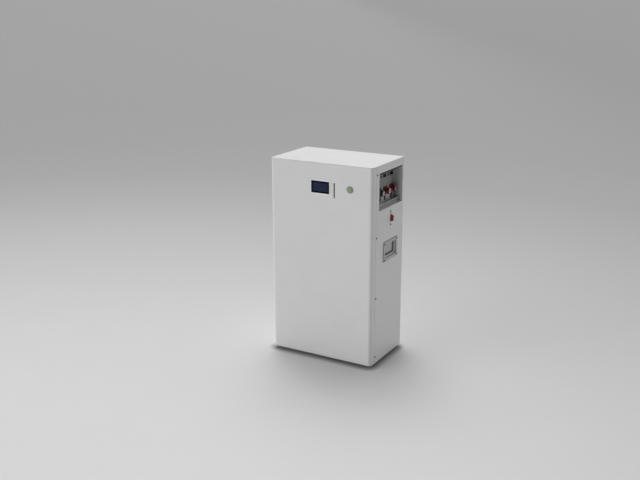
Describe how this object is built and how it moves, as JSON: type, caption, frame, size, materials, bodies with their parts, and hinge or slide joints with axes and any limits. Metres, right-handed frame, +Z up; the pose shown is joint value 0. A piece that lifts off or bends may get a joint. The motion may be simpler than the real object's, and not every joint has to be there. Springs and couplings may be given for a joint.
{
  "type": "wall battery unit",
  "caption": "Tall white steel battery cabinet with a front display and buttons, a recessed terminal bay, a breaker rocker and folding side handles.",
  "frame": {"origin": "on the floor under the centre of the cabinet's footprint", "axes": "+Z up, the front with the display faces -Y, the terminal bay and breaker are on the +X side"},
  "size_m": [0.5286, 0.3221, 0.912],
  "materials": {
    "powder_coat_white": "fine satin texture",
    "powder_coat_grey": "fine satin texture",
    "powder_coat_mid": "fine satin texture",
    "zinc_steel": "bright zinc",
    "dark_steel": "black oxide",
    "black_rubber": "matte",
    "white_plastic": "matte",
    "dark_glass": "glossy",
    "screen": "glossy",
    "circuit_board": "solder mask",
    "green_plastic": "satin",
    "black_plastic": "moulded",
    "red_plastic": "moulded",
    "nickel": "plated",
    "copper": "bare",
    "light_pipe": "clear",
    "brass": "bare",
    "cell_blue": "film",
    "aluminium": "mill finish",
    "red_cable": "matte",
    "tinned_copper": "tinned"
  },
  "bodies": {
    "cabinet": {"cabinet_wrap": "powder_coat_white", "top_panel": "powder_coat_white", "base_panel": "powder_coat_white", "front_cover": "powder_coat_white", "cover_screws": "dark_steel", "cover_nuts": "zinc_steel", "rubber_feet": "black_rubber", "foot_screws": "zinc_steel", "hanger_rail": "zinc_steel", "hanger_bolts": "zinc_steel", "rivet_nuts": "zinc_steel", "display_bezel": "white_plastic", "display_lens": "dark_glass", "lcd_panel": "screen", "display_board": "circuit_board", "power_button_body": "green_plastic", "power_button_nut": "black_plastic", "terminal_bay": "powder_coat_grey", "negative_terminal_1": "black_plastic", "negative_terminal_2": "black_plastic", "positive_terminal_1": "red_plastic", "positive_terminal_2": "red_plastic", "terminal_inserts": "nickel", "terminal_nuts": "nickel", "terminal_link_bars": "copper", "comm_ports": "black_plastic", "port_board": "circuit_board", "address_switch": "black_plastic", "status_lights": "light_pipe", "earth_stud": "brass", "breaker_body": "black_plastic", "right_handle_dish": "powder_coat_mid", "left_handle_dish": "powder_coat_mid", "fitting_screws": "dark_steel", "battery_cells": "cell_blue", "cell_spacers": "white_plastic", "cell_busbars": "copper", "pack_end_plates": "aluminium", "pack_tie_rods": "zinc_steel", "bms_heatsink": "aluminium", "bms_board": "circuit_board", "positive_cables": "red_cable", "negative_cables": "black_rubber", "cable_lugs": "tinned_copper"},
    "power_button": {"power_button_cap": "green_plastic"},
    "reset_button_body": {"reset_button": "black_plastic"},
    "breaker_rocker_body": {"breaker_rocker": "red_plastic"},
    "right_bail": {"right_handle_bail": "powder_coat_mid"},
    "left_bail": {"left_handle_bail": "powder_coat_mid"},
    "menu_button_1_body": {"menu_button_1": "white_plastic"},
    "menu_button_2_body": {"menu_button_2": "white_plastic"},
    "menu_button_3_body": {"menu_button_3": "white_plastic"},
    "menu_button_4_body": {"menu_button_4": "white_plastic"},
    "menu_button_5_body": {"menu_button_5": "white_plastic"},
    "address_slider_1_body": {"address_slider_1": "white_plastic"},
    "address_slider_2_body": {"address_slider_2": "white_plastic"},
    "address_slider_3_body": {"address_slider_3": "white_plastic"},
    "address_slider_4_body": {"address_slider_4": "white_plastic"},
    "address_slider_5_body": {"address_slider_5": "white_plastic"},
    "address_slider_6_body": {"address_slider_6": "white_plastic"}
  },
  "joints": [
    {"name": "menu_button_1_press", "type": "slide", "parent": "cabinet", "child": "menu_button_1_body", "axis": [0, 1, 0], "range_m": [0, 0.0008], "stiffness_N_per_m": 400, "springref_m": -0.0008},
    {"name": "menu_button_2_press", "type": "slide", "parent": "cabinet", "child": "menu_button_2_body", "axis": [0, 1, 0], "range_m": [0, 0.0008], "stiffness_N_per_m": 400, "springref_m": -0.0008},
    {"name": "menu_button_3_press", "type": "slide", "parent": "cabinet", "child": "menu_button_3_body", "axis": [0, 1, 0], "range_m": [0, 0.0008], "stiffness_N_per_m": 400, "springref_m": -0.0008},
    {"name": "menu_button_4_press", "type": "slide", "parent": "cabinet", "child": "menu_button_4_body", "axis": [0, 1, 0], "range_m": [0, 0.0008], "stiffness_N_per_m": 400, "springref_m": -0.0008},
    {"name": "menu_button_5_press", "type": "slide", "parent": "cabinet", "child": "menu_button_5_body", "axis": [0, 1, 0], "range_m": [0, 0.0008], "stiffness_N_per_m": 400, "springref_m": -0.0008},
    {"name": "power_button_press", "type": "slide", "parent": "cabinet", "child": "power_button", "axis": [0, 1, 0], "range_m": [0, 0.0025], "stiffness_N_per_m": 800, "springref_m": -0.0012},
    {"name": "reset_press", "type": "slide", "parent": "cabinet", "child": "reset_button_body", "axis": [-1, 0, 0], "range_m": [0, 0.0008], "stiffness_N_per_m": 400, "springref_m": -0.0008},
    {"name": "address_slider_1_slide", "type": "slide", "parent": "cabinet", "child": "address_slider_1_body", "axis": [0, 1, 0], "range_m": [0, 0.0016]},
    {"name": "address_slider_2_slide", "type": "slide", "parent": "cabinet", "child": "address_slider_2_body", "axis": [0, 1, 0], "range_m": [0, 0.0016]},
    {"name": "address_slider_3_slide", "type": "slide", "parent": "cabinet", "child": "address_slider_3_body", "axis": [0, 1, 0], "range_m": [0, 0.0016]},
    {"name": "address_slider_4_slide", "type": "slide", "parent": "cabinet", "child": "address_slider_4_body", "axis": [0, 1, 0], "range_m": [0, 0.0016]},
    {"name": "address_slider_5_slide", "type": "slide", "parent": "cabinet", "child": "address_slider_5_body", "axis": [0, 1, 0], "range_m": [0, 0.0016]},
    {"name": "address_slider_6_slide", "type": "slide", "parent": "cabinet", "child": "address_slider_6_body", "axis": [0, 1, 0], "range_m": [0, 0.0016]},
    {"name": "breaker_switch", "type": "hinge", "parent": "cabinet", "child": "breaker_rocker_body", "pos_m": [0.2495, 0.028, 0.6578], "axis": [0, -1, 0], "range_deg": [0, 10]},
    {"name": "right_handle_swing", "type": "hinge", "parent": "cabinet", "child": "right_bail", "pos_m": [0.2505, 0.024, 0.537], "axis": [0, -1, 0], "range_deg": [0, 90]},
    {"name": "left_handle_swing", "type": "hinge", "parent": "cabinet", "child": "left_bail", "pos_m": [-0.2505, 0.024, 0.537], "axis": [0, 1, 0], "range_deg": [0, 90]}
  ]
}
